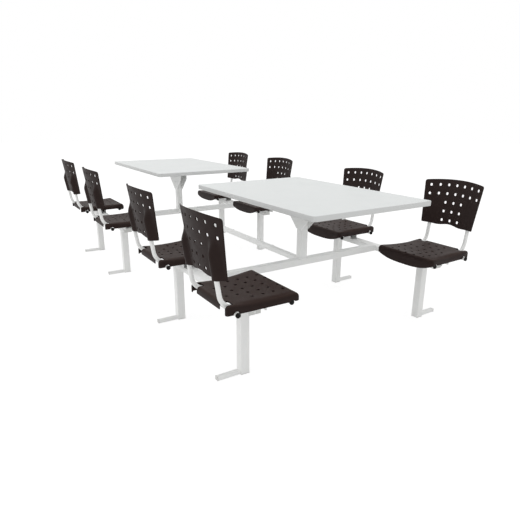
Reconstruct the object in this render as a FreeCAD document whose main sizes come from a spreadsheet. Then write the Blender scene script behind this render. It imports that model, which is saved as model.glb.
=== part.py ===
import FreeCAD, Part

import math
import os

import Sketcher
from FreeCAD import Placement, Rotation, Vector

# Eight-seat cafeteria cluster: two four-seat units in line, joined by one tie beam.
# Frame: millimetres, +Z up, +X along the row of tables, +Y across it.
# Origin: on the floor, at the centre of the whole cluster.

DRIVING = {
    # layout
    "module_pitch": 1750,
    "pedestal_pitch": 728,
    "row_spacing": 1218,
    "table_height": 750,
    "seat_height": 425,
    # table top
    "top_length": 1120,
    "top_width": 760,
    "top_thickness": 25,
    "top_corner": 22,
    "band_thickness": 3,
    # welded frame
    "rail_width": 60,
    "rail_height": 30,
    "rail_overhang": 100,
    "beam_width": 40,
    "beam_height": 40,
    "tie_width": 30,
    "tie_height": 30,
    "post_size": 45,
    "pedestal_size": 45,
    "foot_width": 25,
    "foot_height": 20,
    "foot_reach": 118,
    "tube_wall": 2,
    "plug_flange": 3,
    "plug_insert": 12,
    "plug_clearance": 0.3,
    # top carrier and gussets
    "carrier_plate": 5,
    "carrier_depth": 140,
    "angle_leg": 30,
    "angle_wall": 3,
    "angle_length": 560,
    "gusset_reach": 95,
    "gusset_wall": 4,
    "gusset_height": 162,
    # seat frame
    "seat_plate": 4,
    "seat_plate_length": 300,
    "rod_diameter": 22,
    "rod_sides": 8,
    "bend_steps": 4,
    "upright_spacing": 260,
    "upright_gap": 5,
    "upright_bend": 55,
    "lean": 9,
    "weld_sink": 1,
    "cross_length": 362,
    "cross_rear": 130,
    "cross_front": 136,
    "stringer_end": 11,
    "cap_length": 9,
    "cap_diameter": 25,
    # seat shell
    "seat_front": 390,
    "seat_rear": 340,
    "seat_depth": 348,
    "seat_skirt": 33,
    "seat_lip": 66,
    "seat_wall": 4,
    "seat_dish": 7,
    "seat_nose": 34,
    "seat_heel": 18,
    "pan_clearance": 7,
    "notch_width": 48,
    "notch_clearance": 4,
    # back shell
    "back_gap": 105,
    "back_height": 254,
    "back_top": 388,
    "back_foot": 342,
    "back_crown": 20,
    "back_arch": 11,
    "back_arch_width": 160,
    "back_radius": 460,
    "back_wall": 5,
    "back_corner": 10,
    "socket_height": 145,
    "socket_wall": 3,
    "socket_depth": 135,
    "socket_clearance": 0.15,
    "back_hole": 15,
    "back_column": 52,
    "back_row": 52,
    "back_hole_low": 33,
}

DERIVED = {
    "seat_build": "=seat_wall + seat_dish + pan_clearance + 2 * rod_diameter - weld_sink + seat_plate",
    "rail_top": "=seat_height - seat_build",
    "rail_bottom": "=rail_top - rail_height",
    "back_bottom": "=seat_height + back_gap",
    "beam_top": "=rail_bottom + beam_height",
    "rail_length": "=pedestal_pitch + 2 * rail_overhang",
    "board_length": "=top_length - 2 * band_thickness",
    "board_width": "=top_width - 2 * band_thickness",
    "board_corner": "=top_corner - band_thickness",
    "board_bottom": "=table_height - top_thickness",
    "carrier_half": "=post_size / 2 + gusset_reach",
    "gusset_top": "=board_bottom - 4 * carrier_plate",
    "stringer_level": "=rail_top + seat_plate + rod_diameter / 2",
    "cross_level": "=rail_top + seat_plate + rod_diameter * 3 / 2 - weld_sink",
}

UNITS = (("unit1", 1), ("unit2", -1))
SEATS = (("seat1", 1, -1), ("seat2", -1, -1), ("seat3", 1, 1), ("seat4", -1, 1))
BACK_HOLE_ROWS = (3, 3, 3, 7, 7)

doc = FreeCAD.newDocument("CafeteriaCluster")
sheet = doc.addObject("Spreadsheet::Sheet", "Sizes")
nodes = []


def fill_sheet():
    """One row for each size: its name in column A, its value and alias in column B."""
    cells = list(DRIVING.items()) + list(DERIVED.items())
    for row, (alias, value) in enumerate(cells, start=1):
        sheet.set(f"A{row}", alias)
        sheet.set(f"B{row}", str(value))
        sheet.setAlias(f"B{row}", alias)
    doc.recompute()


def size(alias):
    return float(sheet.get(alias))


def node(thing, label):
    """Name a finished sub-part and keep it for the export."""
    thing.Label = label
    nodes.append(thing)
    return thing


def place(thing, x="0", y="0", z="0", rotation=None):
    """Turn the sub-part, then tie its position to the sheet."""
    thing.Placement = Placement(Vector(0, 0, 0), rotation or Rotation())
    for axis, expression in zip("xyz", (x, y, z)):
        thing.setExpression(f"Placement.Base.{axis}", expression)


def unit_x(side, local="0"):
    return f"{side} * Sizes.module_pitch / 2 + ({local})"


def seat_x(side, along):
    return unit_x(side, f"{along} * Sizes.pedestal_pitch / 2")


def seat_y(across, outward="0"):
    return f"{across} * (Sizes.row_spacing / 2 + ({outward}))"


# ---------------------------------------------------------------- sketch and feature helpers


def new_body(name):
    body = doc.addObject("PartDesign::Body", name)
    body.AllowCompound = True
    return body


def sketch_on(body, role, name, x="0", y="0", z="0"):
    """A sketch on one of the body's own origin planes, moved by sheet expressions."""
    plane = next(f for f in body.Origin.OriginFeatures if f.Role == role)
    sketch = body.newObject("Sketcher::SketchObject", name)
    sketch.AttachmentSupport = [(plane, "")]
    sketch.MapMode = "FlatFace"
    for axis, expression in zip("xyz", (x, y, z)):
        if expression != "0":
            sketch.setExpression(f"AttachmentOffset.Base.{axis}", expression)
    return sketch


def name_size(sketch, constraint, name, expression):
    index = sketch.addConstraint(constraint)
    sketch.renameConstraint(index, name)
    sketch.setExpression(f"Constraints.{name}", expression)


def rectangle(sketch, name, width, depth):
    """Rectangle centred on the sketch's origin, with both sizes bound to the sheet."""
    corners = [Vector(-5, -5, 0), Vector(5, -5, 0), Vector(5, 5, 0), Vector(-5, 5, 0)]
    lines = [
        sketch.addGeometry(Part.LineSegment(corners[i], corners[(i + 1) % 4]), False)
        for i in range(4)
    ]
    for i in range(4):
        joint = Sketcher.Constraint("Coincident", lines[i], 2, lines[(i + 1) % 4], 1)
        sketch.addConstraint(joint)
    for i, way in enumerate(("Horizontal", "Vertical", "Horizontal", "Vertical")):
        sketch.addConstraint(Sketcher.Constraint(way, lines[i]))
    sketch.addConstraint(Sketcher.Constraint("Symmetric", lines[0], 1, lines[2], 1, -1, 1))
    across = Sketcher.Constraint("DistanceX", lines[0], 1, lines[0], 2, 10)
    name_size(sketch, across, f"{name}_width", width)
    along = Sketcher.Constraint("DistanceY", lines[1], 1, lines[1], 2, 10)
    name_size(sketch, along, f"{name}_depth", depth)


def rounded_rectangle(sketch, name, width, depth, radius):
    """Centred rectangle with four equal corner arcs, bound to the sheet."""
    half, bend = 20.0, 4.0
    flat = half - bend
    lines, arcs = [], []
    for turn in range(4):
        spin = Rotation(Vector(0, 0, 1), 90 * turn)
        start = spin.multVec(Vector(-flat, -half, 0))
        end = spin.multVec(Vector(flat, -half, 0))
        lines.append(sketch.addGeometry(Part.LineSegment(start, end), False))
        middle = spin.multVec(Vector(flat, -flat, 0))
        circle = Part.Circle(middle, Vector(0, 0, 1), bend)
        first = math.radians(90 * turn - 90)
        arc = Part.ArcOfCircle(circle, first, first + math.pi / 2)
        arcs.append(sketch.addGeometry(arc, False))
    for i in range(4):
        sketch.addConstraint(Sketcher.Constraint("Tangent", lines[i], 2, arcs[i], 1))
        after = lines[(i + 1) % 4]
        sketch.addConstraint(Sketcher.Constraint("Tangent", arcs[i], 2, after, 1))
    for i in range(3):
        sketch.addConstraint(Sketcher.Constraint("Equal", arcs[i], arcs[i + 1]))
    for i, way in enumerate(("Horizontal", "Vertical", "Horizontal", "Vertical")):
        sketch.addConstraint(Sketcher.Constraint(way, lines[i]))
    sketch.addConstraint(Sketcher.Constraint("Symmetric", arcs[0], 3, arcs[2], 3, -1, 1))
    bend_size = Sketcher.Constraint("Radius", arcs[0], bend)
    name_size(sketch, bend_size, f"{name}_corner", radius)
    across = Sketcher.Constraint("DistanceX", lines[3], 1, lines[1], 1, 2 * half)
    name_size(sketch, across, f"{name}_width", width)
    along = Sketcher.Constraint("DistanceY", lines[0], 2, lines[2], 1, 2 * half)
    name_size(sketch, along, f"{name}_depth", depth)


def loop(sketch, pieces):
    """Closed outline from points, and from (middle, end) pairs that make an arc."""
    start = here = Vector(*pieces[0], 0)
    for piece in pieces[1:] + [pieces[0]]:
        if isinstance(piece[0], tuple):
            middle, end = (Vector(*point, 0) for point in piece)
            sketch.addGeometry(Part.Arc(here, middle, end), False)
        else:
            end = Vector(*piece, 0)
            if end.distanceToPoint(here) > 1e-6:
                sketch.addGeometry(Part.LineSegment(here, end), False)
        here = end
    return start


def box_points(low_x, low_y, high_x, high_y):
    return [(low_x, low_y), (high_x, low_y), (high_x, high_y), (low_x, high_y)]


def pad(body, sketch, length, symmetric=False, reverse=False):
    feature = body.newObject("PartDesign::Pad", f"{sketch.Name}Pad")
    feature.Profile = sketch
    feature.SideType = "Symmetric" if symmetric else "One side"
    feature.Reversed = reverse
    feature.setExpression("Length", length)
    body.Tip = feature
    return feature


def pocket(body, sketch, length, symmetric=True, reverse=False):
    """Cut that must remove material: a cut into thin air is an error."""
    doc.recompute()
    before = body.Tip.Shape.Volume
    feature = body.newObject("PartDesign::Pocket", f"{sketch.Name}Cut")
    feature.Profile = sketch
    feature.SideType = "Symmetric" if symmetric else "One side"
    feature.Reversed = reverse
    feature.setExpression("Length", length)
    body.Tip = feature
    doc.recompute()
    if feature.Shape.Volume >= before:
        raise RuntimeError(f"{feature.Name} removes nothing")
    return feature


def group(name, members):
    compound = doc.addObject("Part::Compound", name)
    compound.Links = members
    return compound


def tube(name, role, width, height, length):
    """Rectangular hollow section, centred on the body's origin."""
    body = new_body(name)
    section = sketch_on(body, role, f"{name}Section")
    rectangle(section, "outer", width, height)
    inside = "{} - 2 * Sizes.tube_wall"
    rectangle(section, "bore", inside.format(width), inside.format(height))
    pad(body, section, length, symmetric=True)
    return body


def plug(name, role, width, height):
    """Plastic end plug: a flange flush with the tube's outside and a stub inside its bore."""
    body = new_body(name)
    flange = sketch_on(body, role, f"{name}Flange")
    rectangle(flange, "flange", width, height)
    pad(body, flange, "Sizes.plug_flange")
    stub = sketch_on(body, role, f"{name}Stub")
    inside = "{} - 2 * Sizes.tube_wall - 2 * Sizes.plug_clearance"
    rectangle(stub, "stub", inside.format(width), inside.format(height))
    pad(body, stub, "Sizes.plug_flange + Sizes.plug_insert")
    return body


def polygon(centre, diameter):
    """Section of a rod: a regular polygon with a flat side down, round its centre."""
    sides = int(size("rod_sides"))
    radius = diameter / 2 / math.cos(math.pi / sides)
    turns = [math.pi / sides * (2 * i + 1) - math.pi / 2 for i in range(sides)]
    return [
        (centre[0] + radius * math.cos(turn), centre[1] + radius * math.sin(turn))
        for turn in turns
    ]


# ---------------------------------------------------------------- table top


def make_tabletop(unit, side):
    """Laminated board with rounded corners."""
    body = new_body(f"{unit}Board")
    outline = sketch_on(body, "XY_Plane", f"{unit}BoardOutline")
    rounded_rectangle(
        outline, "board", "Sizes.board_length", "Sizes.board_width", "Sizes.board_corner"
    )
    pad(body, outline, "Sizes.top_thickness")
    place(body, unit_x(side), "0", "Sizes.board_bottom")
    node(body, f"{unit}_tabletop")


def make_edge_band(unit, side):
    """Plastic edging glued all round the board."""
    body = new_body(f"{unit}Band")
    strip = sketch_on(body, "XY_Plane", f"{unit}Strip")
    rounded_rectangle(
        strip, "outer", "Sizes.top_length", "Sizes.top_width", "Sizes.top_corner"
    )
    rounded_rectangle(
        strip, "inner", "Sizes.board_length", "Sizes.board_width", "Sizes.board_corner"
    )
    pad(body, strip, "Sizes.top_thickness")
    place(body, unit_x(side), "0", "Sizes.board_bottom")
    node(body, f"{unit}_edge_band")


def carrier_angles(sketch):
    """Section of the two angles whose upper legs lie under the board."""
    top, wall, leg = size("board_bottom"), size("angle_wall"), size("angle_leg")
    start = size("carrier_half")
    corners = [
        (start, top),
        (start, top - leg),
        (start + wall, top - leg),
        (start + wall, top - wall),
        (start + leg, top - wall),
        (start + leg, top),
    ]
    for hand in (1, -1):
        loop(sketch, [(hand * x, z) for x, z in corners])


def gusset_outline(sketch):
    """Flared plate: the post's width at its foot, the carrier's width at its top."""
    top, reach = size("gusset_top"), size("gusset_reach")
    half, low = size("post_size") / 2, top - size("gusset_height")
    loop(
        sketch,
        [
            (-half, low),
            (half, low),
            (half + reach, low + reach),
            (half + reach, top),
            (-half - reach, top),
            (-half - reach, low + reach),
        ],
    )


def make_top_bracket(unit, side):
    """Welded head of the post: a plate, two angles under the board and two flared gussets."""
    body = new_body(f"{unit}Bracket")
    plate = sketch_on(body, "XY_Plane", f"{unit}Plate", z="Sizes.gusset_top")
    rectangle(plate, "plate", "2 * Sizes.carrier_half", "Sizes.carrier_depth")
    pad(body, plate, "Sizes.carrier_plate")
    angles = sketch_on(body, "XZ_Plane", f"{unit}Angles")
    carrier_angles(angles)
    pad(body, angles, "Sizes.angle_length", symmetric=True)
    for face, tag in ((1, "Front"), (-1, "Rear")):
        outward = f"{face} * (Sizes.post_size + Sizes.gusset_wall) / 2"
        gusset = sketch_on(body, "XZ_Plane", f"{unit}Gusset{tag}", z=outward)
        gusset_outline(gusset)
        pad(body, gusset, "Sizes.gusset_wall", symmetric=True)
    place(body, unit_x(side))
    node(body, f"{unit}_top_bracket")


def make_post(unit, side):
    """Centre post, standing on the cross beam and carrying the top."""
    body = tube(
        f"{unit}Post",
        "XY_Plane",
        "Sizes.post_size",
        "Sizes.post_size",
        "Sizes.gusset_top - Sizes.beam_top",
    )
    place(body, unit_x(side), "0", "(Sizes.gusset_top + Sizes.beam_top) / 2")
    node(body, f"{unit}_table_post")


# ---------------------------------------------------------------- welded frame


def make_cross_beam(unit, side):
    """Beam across the unit, from rail to rail, under the post."""
    body = tube(
        f"{unit}Beam",
        "XZ_Plane",
        "Sizes.beam_width",
        "Sizes.beam_height",
        "Sizes.row_spacing - Sizes.rail_width",
    )
    place(body, unit_x(side), "0", "Sizes.rail_bottom + Sizes.beam_height / 2")
    node(body, f"{unit}_cross_beam")


def make_rail(unit, side, across, hand):
    """Side rail on top of two pedestals; the seats stand on it."""
    body = tube(
        f"{unit}Rail{hand.title()}",
        "YZ_Plane",
        "Sizes.rail_width",
        "Sizes.rail_height",
        "Sizes.rail_length",
    )
    place(body, unit_x(side), seat_y(across), "Sizes.rail_bottom + Sizes.rail_height / 2")
    node(body, f"{unit}_side_rail_{hand}")


def make_pedestal(unit, side, seat, along, across):
    """Square leg from its floor plug up to the underside of the rail."""
    body = tube(
        f"{unit}Pedestal{seat[-1]}",
        "XY_Plane",
        "Sizes.pedestal_size",
        "Sizes.pedestal_size",
        "Sizes.rail_bottom - Sizes.plug_flange",
    )
    middle = "(Sizes.rail_bottom + Sizes.plug_flange) / 2"
    place(body, seat_x(side, along), seat_y(across), middle)
    node(body, f"{unit}_pedestal{seat[-1]}")


def make_foot_bars(unit, side):
    """Short bars on the floor, one outward from each pedestal, that stop it tipping."""
    bars = []
    reach = "Sizes.foot_reach - Sizes.plug_flange"
    for seat, along, across in SEATS:
        bar = tube(
            f"{unit}Foot{seat[-1]}", "XZ_Plane", "Sizes.foot_width", "Sizes.foot_height", reach
        )
        middle = f"Sizes.pedestal_size / 2 + ({reach}) / 2"
        place(bar, seat_x(side, along), seat_y(across, middle), "Sizes.foot_height / 2")
        bars.append(bar)
    node(group(f"{unit}FootBars", bars), f"{unit}_foot_bars")


def make_end_plugs(unit, side):
    """Plugs in the pedestals' floor ends, the rails' ends and the foot bars' ends."""
    plugs = []
    for seat, along, across in SEATS:
        number = seat[-1]
        glide = plug(
            f"{unit}Glide{number}",
            "XY_Plane",
            "Sizes.pedestal_size",
            "Sizes.pedestal_size",
        )
        place(glide, seat_x(side, along), seat_y(across))
        rail_end = plug(
            f"{unit}RailPlug{number}", "YZ_Plane", "Sizes.rail_width", "Sizes.rail_height"
        )
        overhang = f"{along} * (Sizes.pedestal_pitch / 2 + Sizes.rail_overhang + Sizes.plug_flange)"
        facing = Rotation(Vector(0, 0, 1), 180 if along > 0 else 0)
        level = "Sizes.rail_bottom + Sizes.rail_height / 2"
        place(rail_end, unit_x(side, overhang), seat_y(across), level, facing)
        foot_end = plug(
            f"{unit}FootPlug{number}", "XZ_Plane", "Sizes.foot_width", "Sizes.foot_height"
        )
        reach = "Sizes.pedestal_size / 2 + Sizes.foot_reach"
        turned = Rotation(Vector(0, 0, 1), 0 if across > 0 else 180)
        place(
            foot_end, seat_x(side, along), seat_y(across, reach), "Sizes.foot_height / 2", turned
        )
        plugs += [glide, rail_end, foot_end]
    node(group(f"{unit}EndPlugs", plugs), f"{unit}_end_plugs")


def make_tie_beam():
    """Beam along the centre line that joins the two units' cross beams."""
    length = "Sizes.module_pitch - Sizes.beam_width"
    body = tube("Tie", "YZ_Plane", "Sizes.tie_width", "Sizes.tie_height", length)
    place(body, "0", "0", "Sizes.beam_top - Sizes.tie_height / 2")
    node(body, "tie_beam")


# ---------------------------------------------------------------- seat frame


def upright_y(level):
    """Where the leaning upright's axis is, behind the seat's centre, at a height."""
    at_seat = -(size("seat_depth") / 2 + size("upright_gap"))
    return at_seat - (level - size("seat_height")) * math.tan(math.radians(size("lean")))


def rod_path(sketch):
    """Centre line of a rod: straight under the seat, round the bend, up into the back."""
    level, bend, lean = size("stringer_level"), size("upright_bend"), math.radians(size("lean"))
    turn = math.pi / 2 - lean
    start = upright_y(level) + bend * math.tan(turn / 2)
    base, depth = size("back_bottom"), size("socket_depth")
    steps = int(size("bend_steps"))
    points = [(size("cross_front") + size("stringer_end"), level)]
    for step in range(steps + 1):
        angle = turn * step / steps
        points.append((start - bend * math.sin(angle), level + bend * (1 - math.cos(angle))))
    points.append((upright_y(base) - depth * math.sin(lean), base + depth * math.cos(lean)))
    for first, second in zip(points, points[1:]):
        sketch.addGeometry(Part.LineSegment(Vector(*first, 0), Vector(*second, 0)), False)


def bend_rods(body, name):
    """The right-hand rod, swept along its centre line, and its mirror image."""
    path = sketch_on(body, "YZ_Plane", f"{name}Path", z="Sizes.upright_spacing / 2")
    rod_path(path)
    front = "-Sizes.cross_front - Sizes.stringer_end"
    section = sketch_on(body, "XZ_Plane", f"{name}Section", z=front)
    centre = (size("upright_spacing") / 2, size("stringer_level"))
    loop(section, polygon(centre, size("rod_diameter")))
    rod = body.newObject("PartDesign::AdditivePipe", f"{name}Rod")
    rod.Profile = section
    rod.Spine = (path, [f"Edge{i + 1}" for i in range(len(path.Geometry))])
    rod.Transition = "Right corner"
    body.Tip = rod
    doc.recompute()
    pair = body.newObject("PartDesign::Mirrored", f"{name}Pair")
    pair.Originals = [rod]
    plane = next(f for f in body.Origin.OriginFeatures if f.Role == "YZ_Plane")
    pair.MirrorPlane = (plane, [""])
    body.Tip = pair
    doc.recompute()


def make_seat_frame(unit, side, seat, along, across):
    """Two bent uprights welded to two cross rods under the seat."""
    name = f"{unit}Frame{seat[-1]}"
    body = new_body(name)
    bend_rods(body, name)
    rods = sketch_on(body, "YZ_Plane", f"{name}CrossRods")
    for y in (size("cross_front"), -size("cross_rear")):
        loop(rods, polygon((y, size("cross_level")), size("rod_diameter")))
    pad(body, rods, "Sizes.cross_length", symmetric=True)
    facing = Rotation(Vector(0, 0, 1), 0 if across < 0 else 180)
    place(body, seat_x(side, along), seat_y(across), "0", facing)
    node(body, f"{unit}_{seat}_frame")


def make_seat_plates(unit, side):
    """Flat plates on the rails that the seat frames are welded to."""
    plates = []
    for seat, along, across in SEATS:
        plate = doc.addObject("Part::Box", f"{unit}SeatPlate{seat[-1]}")
        plate.setExpression("Length", "Sizes.seat_plate_length")
        plate.setExpression("Width", "Sizes.rail_width")
        plate.setExpression("Height", "Sizes.seat_plate")
        corner_x = f"{seat_x(side, along)} - Sizes.seat_plate_length / 2"
        corner_y = f"{seat_y(across)} - Sizes.rail_width / 2"
        place(plate, corner_x, corner_y, "Sizes.rail_top")
        plates.append(plate)
    node(group(f"{unit}SeatPlates", plates), f"{unit}_seat_plates")


def make_rod_caps(unit, side):
    """Round plastic caps on the ends of the cross rods."""
    caps = []
    for seat, along, across in SEATS:
        for end in (1, -1):
            for reach, tag in (("Sizes.cross_front", "F"), ("-Sizes.cross_rear", "R")):
                name = f"{unit}Cap{seat[-1]}{tag}{'A' if end > 0 else 'B'}"
                cap = doc.addObject("Part::Prism", name)
                cap.setExpression("Polygon", "Sizes.rod_sides")
                cap.setExpression("Circumradius", "Sizes.cap_diameter / 2")
                cap.setExpression("Height", "Sizes.cap_length")
                start = f"{seat_x(side, along)} + {end} * Sizes.cross_length / 2"
                middle = seat_y(across, f"-({reach})")
                outward = Rotation(Vector(0, 1, 0), 90 * end)
                place(cap, start, middle, "Sizes.cross_level", outward)
                caps.append(cap)
    node(group(f"{unit}RodCaps", caps), f"{unit}_rod_caps")


# ---------------------------------------------------------------- seat shell


def seat_profile(sketch, inset, low):
    """Side view: rounded nose, dished pan and bevelled heel over a flat bottom."""
    front, top = size("seat_depth") / 2 - inset, -inset
    nose, heel = size("seat_nose") - inset, size("seat_heel") - inset
    soft = 1 - math.sqrt(0.5)
    nose_middle = (front - nose * soft, top - nose * soft)
    pan_middle = ((heel - nose) / 2, top - size("seat_dish"))
    loop(
        sketch,
        [
            (-front, low),
            (front, low),
            (front, top - nose),
            (nose_middle, (front - nose, top)),
            (pan_middle, (-front + heel, top)),
            (-front, top - heel),
        ],
    )


def trim_seat_sides(body, name, inset):
    """Plan view: the pan narrows from its front edge to its rear edge."""
    sketch = sketch_on(body, "XY_Plane", f"{name}Plan")
    front, rear = size("seat_front") / 2 - inset, size("seat_rear") / 2 - inset
    end, wide, past = size("seat_depth") / 2, size("seat_front"), 5
    flare = (front - rear) / (2 * end) * past
    for hand in (1, -1):
        loop(
            sketch,
            [
                (hand * (front + flare), end + past),
                (hand * (rear - flare), -end - past),
                (hand * wide, -end - past),
                (hand * wide, end + past),
            ],
        )
    pocket(body, sketch, "4 * Sizes.seat_lip")


def seat_block(name, inset, low):
    """Solid with the seat's outer form, or its inner form when it is inset by the wall."""
    body = new_body(name)
    profile = sketch_on(body, "YZ_Plane", f"{name}Profile")
    seat_profile(profile, inset, low)
    pad(body, profile, "Sizes.seat_front", symmetric=True)
    trim_seat_sides(body, name, inset)
    return body


def hollow_seat(body, name):
    """Take the inner form out of the outer one, which leaves the moulded wall."""
    core = seat_block(f"{name}Core", size("seat_wall"), -size("seat_lip") - 1)
    hollow = body.newObject("PartDesign::Boolean", f"{name}Hollow")
    hollow.Type = "Cut"
    hollow.addObjects([core])
    body.Tip = hollow
    doc.recompute()


def shape_seat_skirt(body, name):
    """Raise the skirt at the sides and rear, and arch the front lip."""
    skirt, lip = size("seat_skirt"), size("seat_lip")
    end, wide = size("seat_depth") / 2, size("seat_front")
    side = sketch_on(body, "YZ_Plane", f"{name}SkirtSide")
    stop = end - size("seat_wall")
    loop(side, box_points(-2 * end, -2 * lip, stop, -skirt))
    pocket(body, side, "2 * Sizes.seat_front")
    face = sketch_on(body, "XZ_Plane", f"{name}SkirtFront")
    half, shoulder = wide / 2, (2 * lip + skirt) / 3
    right = [(0.4 * half, -lip), (0.72 * half, -shoulder), (0.95 * half, -skirt), (wide, -skirt)]
    right.append((wide, -2 * lip))
    loop(face, right + [(-x, z) for x, z in reversed(right)])
    pocket(body, face, "4 * Sizes.seat_depth")


def cut_rod_slots(body, name):
    """Slots in the side skirts that the cross rods pass through."""
    sketch = sketch_on(body, "YZ_Plane", f"{name}RodSlots")
    radius = size("cap_diameter") / 2 + 1
    level = size("cross_level") - size("seat_height")
    low = -2 * size("seat_lip")
    for y in (size("cross_front"), -size("cross_rear")):
        loop(
            sketch,
            box_points(y - radius, low, y + radius, level + radius),
        )
    pocket(body, sketch, "2 * Sizes.seat_front")


def upright_front(level):
    """Front side of an upright at a level: it comes forward where the tube bends."""
    bend, radius = size("upright_bend"), size("rod_diameter") / 2
    low = size("stringer_level")
    start = upright_y(low) + bend * math.tan(math.radians(90 - size("lean")) / 2)
    below = min(max(low + bend - level, 0), bend - radius)
    return start - math.sqrt((bend - radius) ** 2 - below**2)


def cut_upright_notches(body, name):
    """Notches in the rear edge where the two uprights pass the shell."""
    sketch = sketch_on(body, "XY_Plane", f"{name}Notches")
    half = size("notch_width") / 2
    rear = -size("seat_depth") / 2
    reach = upright_front(size("seat_height") - size("seat_skirt"))
    deep = max(reach, rear) + size("notch_clearance")
    for hand in (1, -1):
        middle = hand * size("upright_spacing") / 2
        loop(sketch, box_points(middle - half, rear - 5, middle + half, deep))
    pocket(body, sketch, "4 * Sizes.seat_lip")


def add_seat_feet(body, name):
    """Moulded ribs under the pan that rest on the cross rods."""
    drop = "Sizes.seat_height - Sizes.cross_level - Sizes.rod_diameter / 2"
    sketch = sketch_on(body, "XY_Plane", f"{name}Feet", z=f"-({drop})")
    radius = size("rod_diameter") / 2
    half = size("upright_spacing") / 4
    for y in (size("cross_front"), -size("cross_rear")):
        loop(sketch, box_points(-half, y - radius, half, y + radius))
    pad(body, sketch, f"{drop} - Sizes.seat_wall")


def make_seat_shell(unit, side, seat, along, across):
    """Perforated plastic seat: a dished pan with a rounded nose and a skirt all round."""
    name = f"{unit}Shell{seat[-1]}"
    body = seat_block(name, 0, -size("seat_lip"))
    hollow_seat(body, name)
    shape_seat_skirt(body, name)
    cut_rod_slots(body, name)
    cut_upright_notches(body, name)
    add_seat_feet(body, name)
    facing = Rotation(Vector(0, 0, 1), 0 if across < 0 else 180)
    place(body, seat_x(side, along), seat_y(across), "Sizes.seat_height", facing)
    node(body, f"{unit}_{seat}_shell")


# ---------------------------------------------------------------- back shell


def back_depth(x):
    """How far the curved wall's inner face lies in front of the uprights' axes at x."""
    radius, half = size("back_radius"), size("upright_spacing") / 2
    centre = size("rod_diameter") / 2 + size("back_wall") + 1 + math.sqrt(radius**2 - half**2)
    return centre - math.sqrt(radius**2 - x**2)


def back_band(sketch):
    """Plan view of the curved wall: one narrow flat for each column of holes."""
    columns = BACK_HOLE_ROWS[-1] + 2
    edges = [(i - columns / 2) * size("back_column") for i in range(columns + 1)]
    inner = [(x, back_depth(x)) for x in edges]
    spread = size("back_wall") / size("back_radius")
    outer = [(x * (1 + spread), back_depth(x) - size("back_wall")) for x in edges]
    loop(sketch, inner + outer[::-1])


def back_outline():
    """Right half of the front view, from the middle of the foot up to the crown."""
    tall, crown, arch = size("back_height"), size("back_crown"), size("back_arch")
    top, foot, gap = size("back_top") / 2, size("back_foot") / 2, size("back_arch_width") / 2
    corner, column = size("back_corner"), size("back_column")
    slope = (top - foot) / tall * corner
    points = [(gap / 2, arch), (gap, 0), (foot - corner, 0), (foot + slope, corner)]
    points.append((top - slope, tall - corner))
    edges = [top - corner] + [(i + 0.5) * column for i in (2, 1, 0)]
    return points + [(x, tall + crown * (1 - (x / top) ** 2)) for x in edges]


def trim_back_outline(body, name):
    """Front view: arched top, sides that narrow downwards, arched gap at the bottom."""
    sketch = sketch_on(body, "XZ_Plane", f"{name}Outline")
    right = back_outline()
    loop(sketch, right + [(-x, z) for x, z in reversed(right)])
    wide, margin = 2 * size("back_top"), 40
    high = size("back_height") + size("back_crown") + margin
    loop(sketch, box_points(-wide, -margin, wide, high))
    pocket(body, sketch, "4 * Sizes.back_radius")


def add_sockets(body, name):
    """Closed sleeves behind the wall that the uprights push into."""
    sketch = sketch_on(body, "XY_Plane", f"{name}Sleeves")
    radius = size("rod_diameter") / 2 + size("socket_wall")
    middle, into = size("upright_spacing") / 2, size("back_wall") / 2
    sleeve = [
        (middle - radius, -radius / 2),
        (middle - radius / 2, -radius),
        (middle + radius / 2, -radius),
        (middle + radius, -radius / 2),
        (middle + radius, back_depth(middle + radius) - into),
        (middle - radius, back_depth(middle - radius) - into),
    ]
    for hand in (1, -1):
        loop(sketch, [(hand * x, y) for x, y in sleeve])
    pad(body, sketch, "Sizes.socket_height")
    bores = sketch_on(body, "XY_Plane", f"{name}Bores")
    bore = size("rod_diameter") + 2 * size("socket_clearance")
    for hand in (1, -1):
        loop(bores, polygon((hand * size("upright_spacing") / 2, 0), bore))
    pocket(body, bores, "Sizes.socket_depth", symmetric=False, reverse=True)


def cut_back_holes(body, name):
    """Three short rows of square holes below two full rows, all bowed like the crown."""
    sketch = sketch_on(body, "XZ_Plane", f"{name}Holes")
    column_pitch, row_pitch = size("back_column"), size("back_row")
    half = size("back_hole") / 2
    for row, count in enumerate(BACK_HOLE_ROWS):
        for column in range(count):
            x = (column - (count - 1) / 2) * column_pitch
            bow = size("back_crown") * (2 * x / size("back_top")) ** 2
            z = size("back_hole_low") + row * row_pitch - bow
            loop(sketch, box_points(x - half, z - half, x + half, z + half))
    pocket(body, sketch, "4 * Sizes.back_radius")


def make_back_shell(unit, side, seat, along, across):
    """Perforated plastic back, curved in plan, with two sockets on its rear face."""
    name = f"{unit}Back{seat[-1]}"
    body = new_body(name)
    band = sketch_on(body, "XY_Plane", f"{name}Band", z="-10")
    back_band(band)
    pad(body, band, "Sizes.back_height + Sizes.back_crown + 20")
    trim_back_outline(body, name)
    add_sockets(body, name)
    cut_back_holes(body, name)
    lean = Rotation(Vector(1, 0, 0), size("lean"))
    facing = Rotation(Vector(0, 0, 1), 0 if across < 0 else 180)
    behind = (
        "Sizes.seat_depth / 2 + Sizes.upright_gap"
        " + (Sizes.back_bottom - Sizes.seat_height) * tan(Sizes.lean * 1 deg)"
    )
    rotation = facing.multiply(lean)
    place(body, seat_x(side, along), seat_y(across, behind), "Sizes.back_bottom", rotation)
    node(body, f"{unit}_{seat}_back")


# ---------------------------------------------------------------- build and export


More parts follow.
